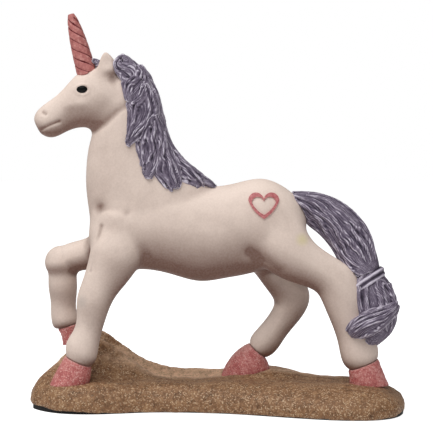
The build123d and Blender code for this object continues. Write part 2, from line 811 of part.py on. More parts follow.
def make_blanks():
    """Every moulding at its full form, before it is cut to seat on its neighbours."""
    blanks = {
        "sole_pad": make_sole(),
        "ground_casting": make_ground(),
        "torso": make_torso(),
        "neck": make_neck(),
        "head": make_head(),
        "left_eye": make_eye(-1),
        "right_eye": make_eye(1),
        "left_ear": make_ear(-1),
        "right_ear": make_ear(1),
        "horn": make_horn(),
        "forelock": make_forelock(),
        "mane_crest": make_crest(),
        "tail_upper": make_tail_part(tail_upper_shares),
        "tail_lower": make_tail_part(tail_lower_shares),
        "tail_tie": make_tail_tie(),
        "tail_curl": make_tail_part(tail_curl_shares, TAIL_CURL_BREADTH, TAIL_CURL_BREADTH),
    }
    blanks.update({name: make_mane_lock(path, -1) for name, path in near_locks.items()})
    blanks.update({name: make_mane_lock(path, 1) for name, path in far_locks.items()})
    blanks.update({name: make_leg(leg) for name, leg in legs.items()})
    blanks.update({hoof_name(name): make_leg_hoof(leg) for name, leg in legs.items()})
    return blanks


def seating():
    """Which mouldings each one is cut to seat on, from the trunk outwards."""
    trunk = ["torso", "neck", "head"]
    hooves = [hoof_name(name) for name in legs]
    seats = {
        "head": ["left_eye", "right_eye"],
        "neck": ["torso", "head"],
        "left_ear": ["head", "neck"],
        "right_ear": ["head", "neck"],
        "horn": ["head"],
        "forelock": ["head", "neck", "horn", "left_ear", "right_ear"],
        "mane_crest": trunk + ["left_ear", "right_ear", "forelock"],
        "tail_upper": ["torso", "left_hindleg"],
        "tail_lower": ["tail_upper", "left_hindleg", "left_hindhoof"],
        "tail_tie": ["tail_upper", "tail_lower", "left_hindleg"],
        "tail_curl": ["tail_lower", "tail_tie", "left_hindleg"],
        "ground_casting": ["sole_pad"] + hooves + list(legs),
    }
    seats.update({name: ["torso", "neck"] for name in legs})
    lock_names = list(near_locks) + list(far_locks)
    for i, name in enumerate(lock_names):
        seats[name] = trunk + ["left_ear", "right_ear", "forelock", "mane_crest"] + lock_names[:i]
    return seats


def build_nodes():
    blanks, seats, pins = make_blanks(), seating(), pin_lines()
    nodes = {}
    for name, blank in blanks.items():
        holes = [pin_hole(*line[:3]) for group in pins.values() for line in group if name in line.joined]
        nodes[name] = cut(blank, *[blanks[other] for other in seats.get(name, [])], *holes)
    nodes["heart"] = make_heart(blanks["torso"])
    for name, group in pins.items():
        nodes[name] = Compound([pin(*line[:3]) for line in group])
    return nodes


def centred_nodes():
    """The mouldings, moved so that the origin lies under the middle of the ground."""
    nodes = build_nodes()
    middle = nodes["ground_casting"].bounding_box().center()
    to_origin = Pos(-middle.X, -middle.Y, 0)
    return {name: to_origin * shape for name, shape in nodes.items()}


os.makedirs("parts", exist_ok=True)
for node_name, shape in centred_nodes().items():
    shape.label = node_name
    export_step(shape, f"parts/{node_name}.step")
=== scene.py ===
import math

import bmesh
import bpy
import numpy as np
from bpy.props import FloatProperty, FloatVectorProperty, IntProperty, PointerProperty
from bpy.types import Operator, Panel, PropertyGroup
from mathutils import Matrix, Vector, noise
from mathutils.bvhtree import BVHTree


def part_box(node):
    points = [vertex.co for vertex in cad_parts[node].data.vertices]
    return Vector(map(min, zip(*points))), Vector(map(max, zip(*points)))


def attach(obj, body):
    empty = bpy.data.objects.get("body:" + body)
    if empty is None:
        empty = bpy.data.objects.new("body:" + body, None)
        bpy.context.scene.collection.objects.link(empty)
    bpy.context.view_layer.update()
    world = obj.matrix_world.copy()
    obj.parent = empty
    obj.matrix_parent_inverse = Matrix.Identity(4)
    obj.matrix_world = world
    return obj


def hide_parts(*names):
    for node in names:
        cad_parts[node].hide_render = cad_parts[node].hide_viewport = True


bl_info = {
    "name": "Unicorn Figurine",
    "version": (1, 0, 0),
    "blender": (4, 5, 0),
    "location": "3D View > Sidebar > Figurine",
    "description": "Dresses the cast mouldings of a unicorn figurine and sets its stage",
    "category": "Object",
}

MM = 0.001
BODY = "root"

# Sides of the figurine along Y. The near one is the photographed one.
NEAR = -1
BOTH = 0
FAR = 1

# Metres: farther than any two places of the figurine lie apart
OUT_OF_REACH = 1.0

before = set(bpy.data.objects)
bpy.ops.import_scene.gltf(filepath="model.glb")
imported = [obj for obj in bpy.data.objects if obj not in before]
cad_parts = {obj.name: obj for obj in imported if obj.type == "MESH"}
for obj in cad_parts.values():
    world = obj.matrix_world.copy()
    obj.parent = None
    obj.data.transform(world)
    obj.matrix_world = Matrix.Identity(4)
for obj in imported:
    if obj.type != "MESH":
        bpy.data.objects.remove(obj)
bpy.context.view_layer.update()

# Mouldings that share one painted skin
COAT_NODES = ["torso", "neck", "head", "left_ear", "right_ear", "left_foreleg", "right_foreleg",
              "left_hindleg", "right_hindleg"]
HOOF_NODES = ["left_forehoof", "right_forehoof", "left_hindhoof", "right_hindhoof"]
EYE_NODES = ["left_eye", "right_eye"]
PIN_NODES = ["leg_dowels", "foot_pins", "neck_dowel", "head_dowel", "horn_pin", "tail_pin"]


# Smoothing rounds that take the voxels' steps out of each skin, and the ones that soften the pressed coat
SKIN_ROUNDS = {"coat": 4, "hair": 2, "horn": 2, "hoof": 3, "ground": 4}
PRESSED_ROUNDS = 2


# Plain helpers
def linear(code):
    """A colour written as sRGB hex, as linear values for a shader."""
    channels = [int(code[i:i + 2], 16) / 255 for i in (1, 3, 5)]
    return [c / 12.92 if c <= 0.04045 else ((c + 0.055) / 1.055) ** 2.4 for c in channels] + [1.0]


def colour_property(name, description, code):
    return FloatVectorProperty(name=name, description=description, subtype="COLOR", size=4, min=0, max=1,
                               default=linear(code))


def length_property(name, description, default):
    return FloatProperty(name=name, description=description, default=default, unit="LENGTH",
                         subtype="DISTANCE")


def activate(*pieces):
    """Selects only these pieces. The first is the active one."""
    bpy.ops.object.select_all(action="DESELECT")
    for piece in pieces:
        piece.select_set(True)
    bpy.context.view_layer.objects.active = pieces[0]


def copy_of(node_name, piece_name):
    """A copy of a moulding's mesh with its loose triangles merged."""
    piece = bpy.data.objects.new(piece_name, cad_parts[node_name].data.copy())
    bpy.context.scene.collection.objects.link(piece)
    piece.data.materials.clear()
    activate(piece)
    bpy.ops.object.mode_set(mode="EDIT")
    bpy.ops.mesh.select_all(action="SELECT")
    bpy.ops.mesh.remove_doubles(threshold=0.0005 * MM)
    bpy.ops.object.mode_set(mode="OBJECT")
    return piece


def join(pieces, name):
    activate(*pieces)
    bpy.ops.object.join()
    pieces[0].name = pieces[0].data.name = name
    return pieces[0]


def apply_modifier(piece, kind, **settings):
    activate(piece)
    modifier = piece.modifiers.new(kind.title(), kind)
    for key, value in settings.items():
        setattr(modifier, key, value)
    bpy.ops.object.modifier_apply(modifier=modifier.name)


def voxel_remesh(piece, size):
    """Fuses a piece's overlapping shells into one even skin."""
    apply_modifier(piece, "REMESH", mode="VOXEL", voxel_size=size)


def smooth(piece, rounds, **settings):
    """Evens out a piece's skin, all of it or as far as a vertex group says."""
    apply_modifier(piece, "SMOOTH", factor=0.5, iterations=rounds, **settings)


def smooth_shade(piece):
    activate(piece)
    bpy.ops.object.shade_smooth()


def tree_of(piece):
    """A search tree that finds the nearest place on a piece's skin."""
    return BVHTree.FromObject(piece, bpy.context.evaluated_depsgraph_get())


def read_points(piece, field):
    values = np.empty(len(piece.data.vertices) * 3)
    piece.data.vertices.foreach_get(field, values)
    return values.reshape(-1, 3)


def places_of(piece):
    return read_points(piece, "co")


def directions_of(piece):
    """Where the skin faces at each point."""
    return read_points(piece, "normal")


def set_places(piece, places):
    piece.data.vertices.foreach_set("co", np.asarray(places).reshape(-1))
    piece.data.update()


def set_attribute(piece, name, values):
    """Writes a number or a vector at each point, for the paint to read."""
    values = np.asarray(values, dtype=float)
    kind, field = ("FLOAT", "value") if values.ndim == 1 else ("FLOAT_VECTOR", "vector")
    attribute = piece.data.attributes.new(name, kind, "POINT")
    attribute.data.foreach_set(field, values.reshape(-1))


def swell(piece, amount):
    """Moves a piece's skin outwards, or inwards where the amount is below zero."""
    set_places(piece, places_of(piece) + directions_of(piece) * amount)


# A rough skin's lumps: how fast the smaller ones lose height, how much smaller each set is, and how many
# sets there are
LUMP_FADE = 1.0
LUMP_STEP = 2.0
LUMP_SETS = 3


def roughen(piece, size, height):
    """Moves a piece's skin in and out by cloudy noise with lumps of a real size."""
    places, directions = places_of(piece), directions_of(piece)
    for index in range(len(places)):
        lump = noise.fractal(Vector(places[index]) / size, LUMP_FADE, LUMP_STEP, LUMP_SETS)
        places[index] += directions[index] * lump * height
    set_places(piece, places)


def hollowness(piece, rounds):
    """How far each point lies below its surroundings, in metres: above zero in a groove, below on a ridge.
    More rounds take in wider surroundings."""
    edges = np.empty(len(piece.data.edges) * 2, dtype=int)
    piece.data.edges.foreach_get("vertices", edges)
    a, b = edges.reshape(-1, 2).T
    places, directions = places_of(piece), directions_of(piece)
    number = len(places)
    count = np.bincount(a, minlength=number) + np.bincount(b, minlength=number)
    mean = places.copy()
    for _ in range(rounds):
        total = np.empty_like(mean)
        for axis in range(3):
            column = mean[:, axis]
            total[:, axis] = np.bincount(a, column[b], number) + np.bincount(b, column[a], number)
        mean = 0.5 * mean + 0.5 * total / np.maximum(count, 1)[:, None]
    return ((mean - places) * directions).sum(axis=1)


# How squarely the skin has to face one side before a press works on it
FACING_GAIN = 1.6
FACING_LOSS = 0.2


def press(places, directions, line, radius, depth, side):
    """Presses a groove, or raises a welt where the depth is negative, along a line of (x, z). The line, the
    radius and the depth are in millimetres."""
    line = [np.array(point) * MM for point in line]
    flat = places[:, [0, 2]]
    nearest = np.full(len(places), OUT_OF_REACH)
    for start, end in zip(line, line[1:]):
        run = end - start
        share = np.clip(((flat - start) @ run) / (run @ run), 0, 1)
        nearest = np.minimum(nearest, np.linalg.norm(flat - start - share[:, None] * run, axis=1))
    strength = np.exp(-(nearest / (radius * MM)) ** 2)
    facing = np.clip(np.abs(directions[:, 1]) * FACING_GAIN - FACING_LOSS, 0, 1)
    if side != BOTH:
        facing = facing * (places[:, 1] * side > 0)
    places -= directions * (strength * facing * depth * MM)[:, None]


def press_all(piece, presses):
    places, directions = places_of(piece), directions_of(piece)
    for line, radius, depth, side in presses.values():
        press(places, directions, line, radius, depth, side)
    set_places(piece, places)


def finish_piece(piece, material, slot, *nodes):
    """Gives a piece its finish and its body, and hides the mouldings that it stands for. The slot is not
    used.
    """
    piece.data.materials.clear()
    piece.data.materials.append(material)
    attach(piece, BODY)
    if nodes:
        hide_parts(*nodes)


def paint_nodes(material, *node_names):
    """Paints mouldings that are shown as they are."""
    for name in node_names:
        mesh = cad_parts[name].data
        mesh.materials.clear()
        mesh.materials.append(material)


# Materials
def new_material(name):
    material = bpy.data.materials.new(name)
    material.use_nodes = True
    material.node_tree.nodes.clear()
    return material, material.node_tree


def add(tree, kind, inputs=None, stops=(), **settings):
    """Adds a shader node with its settings and a ramp's stops of (place, colour). An input takes a value, a
    socket or a node, which gives its first output."""
    node = tree.nodes.new(kind)
    for key, value in settings.items():
        setattr(node, key, value)
    for key, value in (inputs or {}).items():
        if isinstance(value, bpy.types.Node):
            value = value.outputs[0]
        if isinstance(value, bpy.types.NodeSocket):
            tree.links.new(value, node.inputs[key])
        else:
            node.inputs[key].default_value = value
    if stops:
        elements = node.color_ramp.elements
        while len(elements) < len(stops):
            elements.new(0.5)
        for element, (place, colour) in zip(elements, stops):
            element.position = place
            element.color = colour
    return node


def grey(level):
    return (level, level, level, 1)


def paint_over(tree, base, *coats):
    """Lays coats of (cover, colour) over a base colour, one after the other. A cover of one hides what is
    below."""
    for cover, colour in coats:
        base = add(tree, "ShaderNodeMix", {0: cover, 6: base, 7: colour}, data_type="RGBA").outputs[2]
    return base


def round_mark(tree, place, centre, radius, softness, cover):
    """The cover of a round mark on the surface, which fades to nought at its edge."""
    apart = add(tree, "ShaderNodeVectorMath", {0: place, 1: centre}, operation="DISTANCE").outputs["Value"]
    return add(tree, "ShaderNodeMapRange", {"Value": apart, "From Min": radius - softness,
                                           "From Max": radius + softness, "To Min": cover, "To Max": 0.0},
               interpolation_type="SMOOTHSTEP")


def surface(tree, **inputs):
    shader = add(tree, "ShaderNodeBsdfPrincipled",
                 {key.replace("_", " "): value for key, value in inputs.items()})
    add(tree, "ShaderNodeOutputMaterial", {"Surface": shader})


# Middles of two marks in the paint of the near side
STAIN_PLACE = (30.3 * MM, -9.0 * MM, 62.4 * MM)
SMUDGE_PLACE = (-50.5 * MM, -12.5 * MM, 40.5 * MM)


def painted_coat(settings):
    """Matt acrylic on casting resin: warm white, with a brown wash that is partly painted shade in the
    hollows, and painted shade below and on the sides.
    """
    material, tree = new_material("painted resin coat")
    place = add(tree, "ShaderNodeTexCoord").outputs["Object"]
    wash_and_shade = add(tree, "ShaderNodeAttribute", attribute_name="wash_and_shade").outputs["Fac"]
    cloud = add(tree, "ShaderNodeTexNoise", {"Vector": place, "Scale": 1 / (9 * MM), "Detail": 4.0,
                                             "Roughness": 0.55})
    patches = add(tree, "ShaderNodeValToRGB", {"Fac": cloud}, stops=[(0.45, grey(0.0)), (0.80, grey(0.20))])
    fine = add(tree, "ShaderNodeTexNoise", {"Vector": place, "Scale": 1 / (0.7 * MM), "Detail": 2.0,
                                            "Roughness": 0.55})
    dust = add(tree, "ShaderNodeValToRGB", {"Fac": fine}, stops=[(0.35, grey(0.30)), (0.65, grey(0.75))])
    stain = round_mark(tree, place, STAIN_PLACE, radius=2.6 * MM, softness=1.6 * MM, cover=0.75)
    smudge = round_mark(tree, place, SMUDGE_PLACE, radius=2.2 * MM, softness=2.0 * MM, cover=0.40)
    # The wash colour paints the wash and the painted shade in the hollows, the painted shade below and on the
    # sides, and random patches
    base = paint_over(tree, settings.coat_colour, (wash_and_shade, settings.wash_and_shade_colour),
                      (patches, settings.wash_and_shade_colour), (0.10, dust), (stain, settings.stain_colour),
                      (smudge, settings.smudge_colour))
    relief = add(tree, "ShaderNodeBump", {"Height": fine, "Distance": 0.03 * MM, "Strength": 0.6})
    surface(tree, Base_Color=base, Roughness=0.62, Specular_IOR_Level=0.35, Normal=relief)
    return material


def painted_hair(settings):
    """Dark purple acrylic in the grooves, dry-brushed nearly white along the ridges in broken strokes."""
    material, tree = new_material("dry-brushed resin hair")
    place = add(tree, "ShaderNodeTexCoord").outputs["Object"]
    ridge = add(tree, "ShaderNodeAttribute", attribute_name="ridge").outputs["Fac"]
    flow = add(tree, "ShaderNodeAttribute", attribute_name="flow").outputs["Vector"]
    strokes = add(tree, "ShaderNodeTexNoise", {"Vector": flow, "Scale": 1 / (0.55 * MM), "Detail": 3.0,
                                               "Roughness": 0.75})
    patches = add(tree, "ShaderNodeTexNoise", {"Vector": place, "Scale": 1 / (3.2 * MM), "Detail": 2.0,
                                               "Roughness": 0.55})
    height = 0.0
    for value, weight in ((ridge, 0.62), (strokes, 0.62), (patches, 0.30)):
        height = add(tree, "ShaderNodeMath", {0: value, 1: weight, 2: height}, operation="MULTIPLY_ADD")
    base = add(tree, "ShaderNodeValToRGB", {"Fac": height},
               stops=[(0.51, settings.groove_colour), (0.69, settings.hair_colour),
                      (0.86, settings.ridge_colour), (0.98, settings.brushed_colour)])
    relief = add(tree, "ShaderNodeBump", {"Height": strokes, "Distance": 0.16 * MM, "Strength": 0.8})
    surface(tree, Base_Color=base, Roughness=0.58, Specular_IOR_Level=0.35, Normal=relief)
    return material


def painted_horn(settings):
    """Dusty pink acrylic, chalky on the bands, with painted shade in the carved grooves."""
    material, tree = new_material("painted resin horn")
    place = add(tree, "ShaderNodeTexCoord").outputs["Object"]
    groove = add(tree, "ShaderNodeAttribute", attribute_name="groove").outputs["Fac"]
    cloud = add(tree, "ShaderNodeTexNoise", {"Vector": place, "Scale": 1 / (1.3 * MM), "Detail": 4.0,
                                             "Roughness": 0.65})
    band = add(tree, "ShaderNodeValToRGB", {"Fac": cloud},
               stops=[(0.30, settings.band_dark_colour), (0.55, settings.band_colour),
                      (0.80, settings.band_pale_colour)])
    speckle = add(tree, "ShaderNodeTexNoise", {"Vector": place, "Scale": 1 / (0.35 * MM), "Detail": 2.0,
                                               "Roughness": 0.55})
    # Painted shade in the carved grooves
    base = paint_over(tree, band, (groove, settings.groove_colour))
    relief = add(tree, "ShaderNodeBump", {"Height": speckle, "Distance": 0.05 * MM, "Strength": 0.7})
    surface(tree, Base_Color=base, Roughness=0.66, Specular_IOR_Level=0.3, Normal=relief)
    return material


def glittered_paint(name, dark, middle, pale, painted_top_light_colour, glint, grit):
    """Rough acrylic with coarse grit, painted paler where it faces up as painted top light, and a scatter of
    glitter flakes whose glint is painted as pale specks. The flakes are drawn coarser than real glitter, so
    that they show."""
    material, tree = new_material(name)
    place = add(tree, "ShaderNodeTexCoord").outputs["Object"]
    painted_top_light = add(tree, "ShaderNodeAttribute", attribute_name="painted_top_light").outputs["Fac"]
    cloud = add(tree, "ShaderNodeTexNoise", {"Vector": place, "Scale": 1 / (3.0 * MM), "Detail": 5.0,
                                             "Roughness": 0.7})
    grains = add(tree, "ShaderNodeTexNoise", {"Vector": place, "Scale": 1 / grit, "Detail": 3.0,
                                              "Roughness": 0.75})
    patches = paint_over(tree, cloud, (0.5, grains))
    base = add(tree, "ShaderNodeValToRGB", {"Fac": patches},
               stops=[(0.36, dark), (0.50, middle), (0.66, pale)])
    top_light_levels = add(tree, "ShaderNodeMapRange", {"Value": patches, "From Min": 0.38, "From Max": 0.56,
                                           "To Min": 0.35, "To Max": 0.95})
    painted_top_light_cover = add(tree, "ShaderNodeMath", {0: painted_top_light, 1: top_light_levels}, operation="MULTIPLY")
    # Glitter flakes painted as pale specks: a painted glint
    flakes = add(tree, "ShaderNodeTexVoronoi", {"Vector": place, "Scale": 1 / (0.36 * MM)}).outputs["Color"]
    chosen = add(tree, "ShaderNodeSeparateColor", {"Color": flakes})
    bright = add(tree, "ShaderNodeValToRGB", {"Fac": chosen}, stops=[(0.80, grey(0.0)), (0.96, grey(0.62))])
    # Painted top light where the skin faces up, and the glitter's painted glint
    base = paint_over(tree, base, (painted_top_light_cover, painted_top_light_colour), (bright, glint))
    relief = add(tree, "ShaderNodeBump", {"Height": grains, "Distance": 0.22 * MM, "Strength": 0.9})
    surface(tree, Base_Color=base, Roughness=0.62, Specular_IOR_Level=0.4, Normal=relief)
    return material


def gloss_eye(settings):
    """Black enamel: smooth, with a small soft highlight."""
    material, tree = new_material("gloss black enamel")
    surface(tree, Base_Color=settings.eye_colour, Roughness=0.28, Specular_IOR_Level=0.12)
    return material


def heart_paint(settings):
    """Dusty red acrylic, brushed thinly and unevenly along the raised heart."""
    material, tree = new_material("brushed red acrylic")
    place = add(tree, "ShaderNodeTexCoord").outputs["Object"]
    cloud = add(tree, "ShaderNodeTexNoise", {"Vector": place, "Scale": 1 / (0.8 * MM), "Detail": 3.0,
                                             "Roughness": 0.55})
    base = add(tree, "ShaderNodeValToRGB", {"Fac": cloud},
               stops=[(0.30, settings.heart_dark), (0.70, settings.heart_pale)])
    surface(tree, Base_Color=base, Roughness=0.6)
    return material


def sole_felt(settings):
    """Black felt: dull, with a short nap."""
    material, tree = new_material("black felt")
    place = add(tree, "ShaderNodeTexCoord").outputs["Object"]
    nap = add(tree, "ShaderNodeTexNoise", {"Vector": place, "Scale": 1 / (0.4 * MM), "Detail": 2.0,
                                           "Roughness": 0.55})
    base = add(tree, "ShaderNodeValToRGB", {"Fac": nap},
               stops=[(0.3, settings.sole_colour), (0.7, settings.nap_colour)])
    relief = add(tree, "ShaderNodeBump", {"Height": nap, "Distance": 0.1 * MM, "Strength": 1.0})
    surface(tree, Base_Color=base, Roughness=0.95, Normal=relief)
    return material


def pin_steel(settings):
    """Drawn steel wire: a grey metal, slightly uneven in tone."""
    material, tree = new_material("drawn steel wire")
    place = add(tree, "ShaderNodeTexCoord").outputs["Object"]
    cloud = add(tree, "ShaderNodeTexNoise", {"Vector": place, "Scale": 1 / (0.2 * MM), "Detail": 2.0,
                                             "Roughness": 0.55})
    base = add(tree, "ShaderNodeValToRGB", {"Fac": cloud},
               stops=[(0.3, settings.steel_dark), (0.7, settings.steel_pale)])
    surface(tree, Base_Color=base, Metallic=1.0, Roughness=0.32)
    return material


# What a user would change
class CoatSettings(PropertyGroup):
    coat_colour: colour_property("Coat", "Warm white paint of the coat", "#F4DFD1")
    # Brown wash in the hollows, and painted shade there, below and on the sides
    wash_and_shade_colour: colour_property("Wash", "Brown wash in the hollows", "#734B3A")
    stain_colour: colour_property("Stain", "Yellow stain on the thigh", "#D8CE6A")
    smudge_colour: colour_property("Smudge", "Grey smudge at the planted knee", "#9A938E")
    skin_voxel: length_property("Skin voxel", "Cell size of the fused skin", 0.5 * MM)
    seam_reach: length_property("Seam reach", "How far from a glued seam the skin is smoothed", 8.0 * MM)
    seam_swell: length_property("Seam swell", "Swelling that closes the cracks before the skin is fused",
                                0.45 * MM)
    seam_rounds: IntProperty(name="Seam rounds", description="Smoothing rounds over the glued seams",
                             default=170)


class HairSettings(PropertyGroup):
    groove_colour: colour_property("Groove", "Darkest paint between the strands", "#221C29")
    hair_colour: colour_property("Hair", "Main paint of mane and tail", "#584D60")
    ridge_colour: colour_property("Ridge", "Dry-brushed paint on the ridges", "#857A8B")
    brushed_colour: colour_property("Brushed", "Palest strokes on the ridges", "#D6CEDB")
    strand_voxel: length_property("Strand voxel", "Cell size of a lock", 0.22 * MM)
    lock_inset: length_property("Lock inset", "How far a lock lies below the tops of its strands", 0.45 * MM)
    hair_spacing: length_property("Hair spacing", "From one fine hair to the next", 0.75 * MM)
    hair_depth: length_property("Hair depth", "Height of the fine hairs", 0.07 * MM)


class HornSettings(PropertyGroup):
    band_colour: colour_property("Band", "Dusty pink of the bands", "#C07A75")
    band_dark_colour: colour_property("Dark band", "Dark patches of the bands", "#A05B57")
    band_pale_colour: colour_property("Pale band", "Chalky patches of the bands", "#DDAFA5")
    # Painted shade in the carved grooves
    groove_colour: colour_property("Groove", "Dark red in the carved grooves", "#6B2329")
    horn_voxel: length_property("Horn voxel", "Cell size of the horn's skin", 0.2 * MM)


class HoofSettings(PropertyGroup):
    hoof_dark: colour_property("Dark hoof", "Dark patches of the hooves", "#9A4443")
    hoof_colour: colour_property("Hoof", "Main colour of the hooves", "#C3706C")
    # Pale patches of the hooves, and their painted top light where they face up
    hoof_pale_and_top_light: colour_property("Pale hoof", "Pale patches, and paint where the hooves face up", "#E2ABA2")
    glint_colour: colour_property("Glint", "Glitter flakes on the hooves", "#EBC3BA")
    hoof_voxel: length_property("Hoof voxel", "Cell size of a hoof's skin", 0.35 * MM)


class GroundSettings(PropertyGroup):
    sand_dark: colour_property("Dark sand", "Dark grains of the ground", "#523722")
    sand_colour: colour_property("Sand", "Main colour of the ground", "#876142")
    sand_pale: colour_property("Pale sand", "Pale grains of the ground", "#B08A64")
    # Painted top light where the ground faces up
    top_light_colour: colour_property("Worn sand", "Pale paint where the ground faces up", "#F0C8A6")
    glint_colour: colour_property("Glint", "Glitter flakes on the ground", "#E3C7A4")
    ground_voxel: length_property("Ground voxel", "Cell size of the ground's skin", 0.7 * MM)
    lump_height: length_property("Lump height", "Height of the ground's small lumps", 0.35 * MM)


class SmallPieceSettings(PropertyGroup):
    eye_colour: colour_property("Eye", "Black of the eyes", "#050505")
    heart_dark: colour_property("Dark heart", "Dark strokes of the heart", "#A64B50")
    heart_pale: colour_property("Pale heart", "Pale strokes of the heart", "#CE8483")
    sole_colour: colour_property("Sole", "Black of the felt sole", "#0B0B0B")
    nap_colour: colour_property("Nap", "Tips of the felt's nap", "#272727")
    steel_dark: colour_property("Dark steel", "Dark tone of the pins", "#8F9194")
    steel_pale: colour_property("Pale steel", "Pale tone of the pins", "#B5B7BA")


class StageSettings(PropertyGroup):
    camera_distance: length_property("Camera distance", "From the figurine's middle plane", 500 * MM)
    camera_height: length_property("Camera height", "Above the table", 98 * MM)
    aim_place: length_property("Aim place", "Place along X that the picture's middle looks at", -0.2 * MM)
    aim_height: length_property("Aim height", "Height that the picture's middle looks at", 71.1 * MM)
    picture_width: length_property("Picture width", "Width of the view at the middle plane", 162.4 * MM)
    key_power: FloatProperty(name="Key power", description="Overhead soft box", default=7.3, unit="POWER")
    fill_power: FloatProperty(name="Fill power", description="Front soft box", default=0.6, unit="POWER")
    room_light: FloatProperty(name="Room light", description="Light of the white room on the figurine",
                              default=0.26)
    card_glow: FloatProperty(name="Card glow", description="Lift that turns the floor white to the camera",
                             default=0.80)


SETTINGS = {
    "figurine_coat": CoatSettings,
    "figurine_hair": HairSettings,
    "figurine_horn": HornSettings,
    "figurine_hooves": HoofSettings,
    "figurine_ground": GroundSettings,
    "figurine_small_pieces": SmallPieceSettings,
    "figurine_stage": StageSettings,
}


# Coat. The right foreleg is the raised one, and its knee is smoothed like a seam.
RAISED_KNEE = Vector((-57.5, 8.0, 48.0)) * MM

# A moulding is looked for within this many seam reaches
SEARCH_REACHES = 3

# Hollows of the coat, and the raised cheek bone, as the line of (x, z), the radius and the depth, in
# millimetres, and the side
COAT_PRESSES = {
    "shoulder": ([(-43.0, 68.0), (-43.8, 64.5), (-45.2, 61.0), (-46.3, 56.0), (-46.8, 52.0)], 1.2, 0.4, NEAR),
    "withers": ([(-43.0, 74.5), (-34.0, 72.5)], 2.6, 0.7, BOTH),
    "cheek": ([(-46.0, 103.2), (-41.5, 105.8), (-36.6, 110.2), (-33.3, 112.4)], 1.8, 0.45, BOTH),
    "mouth": ([(-65.3, 103.4), (-61.6, 105.3), (-58.4, 106.5)], 0.55, 0.35, BOTH),
    "nostril": ([(-64.6, 110.0), (-63.6, 109.4)], 0.75, 0.55, BOTH),
    "cheek bone": ([(-55.0, 112.5), (-50.0, 113.0)], 1.8, -0.25, BOTH),
    "flank": ([(12.0, 58.0), (17.0, 55.0), (22.0, 51.0)], 2.6, 0.6, BOTH),
}

# Eye sockets and lids. Radii and widths are in half-sizes of the eye bead, depths in millimetres.
EYE_REACH = 2.2
SOCKET_RADIUS = 0.95
SOCKET_DEPTH = 0.75
LID_RADIUS = 1.28
LID_WIDTH = 0.24
LID_HEIGHT = 0.20

# Brown wash and painted shade in grooves and hollows: rounds and depth, in millimetres, that tell a groove
# and a broad hollow, and each one's share
GROOVE_ROUNDS = 12
GROOVE_DEPTH = 0.10
GROOVE_WASH_AND_SHADE = 0.40
HOLLOW_ROUNDS = 120
HOLLOW_DEPTH = 0.8
HOLLOW_WASH_AND_SHADE = 0.55

# Painted shade where the skin faces down and sideways, and the most wash and painted shade that any place
# gets
UNDER_START = 0.10
UNDER_SLOPE = 1.35
UNDER_SHADE = 0.80
SIDE_START = 0.70
SIDE_SHADE = 0.27
MOST_WASH_AND_SHADE = 0.97

# Millimetres that a seam's edge is tucked below the skin
SEAM_TUCK = 1.4


def seam_weights(places, trees, reach):
    """One where two mouldings meet and at the raised knee, falling to nought at the given reach."""
    weights = np.zeros(len(places))
    for index, place in enumerate(map(Vector, places)):
        found = [tree.find_nearest(place, reach * SEARCH_REACHES)[3] for tree in trees]
        second_nearest = sorted(apart or OUT_OF_REACH for apart in found)[1]
        at_knee = (place - RAISED_KNEE).length if place.y > 0 else reach
        weights[index] = max(0.0, 1.0 - second_nearest / reach, 1.0 - at_knee / reach)
    return weights


def open_eyes(piece):
    """Lets the skin back round each eye bead and raises a thin lid round it."""
    places, directions = places_of(piece), directions_of(piece)
    for name in EYE_NODES:
        low, high = (np.array(corner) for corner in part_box(name))
        middle, half = (low + high) / 2, (high - low) / 2
        flat = np.hypot((places[:, 0] - middle[0]) / half[0], (places[:, 2] - middle[2]) / half[2])
        near = (places[:, 1] * np.sign(middle[1]) > 0) & (flat < EYE_REACH)
        socket = np.exp(-(flat / SOCKET_RADIUS) ** 4)
        lid = np.exp(-((flat - LID_RADIUS) / LID_WIDTH) ** 2)
        places -= directions * (near * (socket * SOCKET_DEPTH - lid * LID_HEIGHT) * MM)[:, None]
    set_places(piece, places)


def wash_and_shade_strength(piece):
    """How much brown wash and painted shade each point gets: wash that is partly painted shade in grooves and
    hollows, painted shade a little on the sides and most below.
    """
    rise = directions_of(piece)[:, 2]
    groove = np.clip(hollowness(piece, GROOVE_ROUNDS) / (GROOVE_DEPTH * MM), 0, 1)
    hollow = np.clip(hollowness(piece, HOLLOW_ROUNDS) / (HOLLOW_DEPTH * MM), 0, 1)
    # Painted shade where the skin faces down, and a little on the sides
    under_shade = np.clip(UNDER_START - UNDER_SLOPE * rise, 0, 1)
    side = np.clip(SIDE_START - rise, 0, 1) * SIDE_SHADE
    return np.clip(GROOVE_WASH_AND_SHADE * groove + HOLLOW_WASH_AND_SHADE * hollow + UNDER_SHADE * under_shade + side, 0, MOST_WASH_AND_SHADE)


def key_of(vertex):
    """A vertex's place as a key, which is the same on the skin and on its copies."""
    return tuple(np.round(vertex.co, 7))


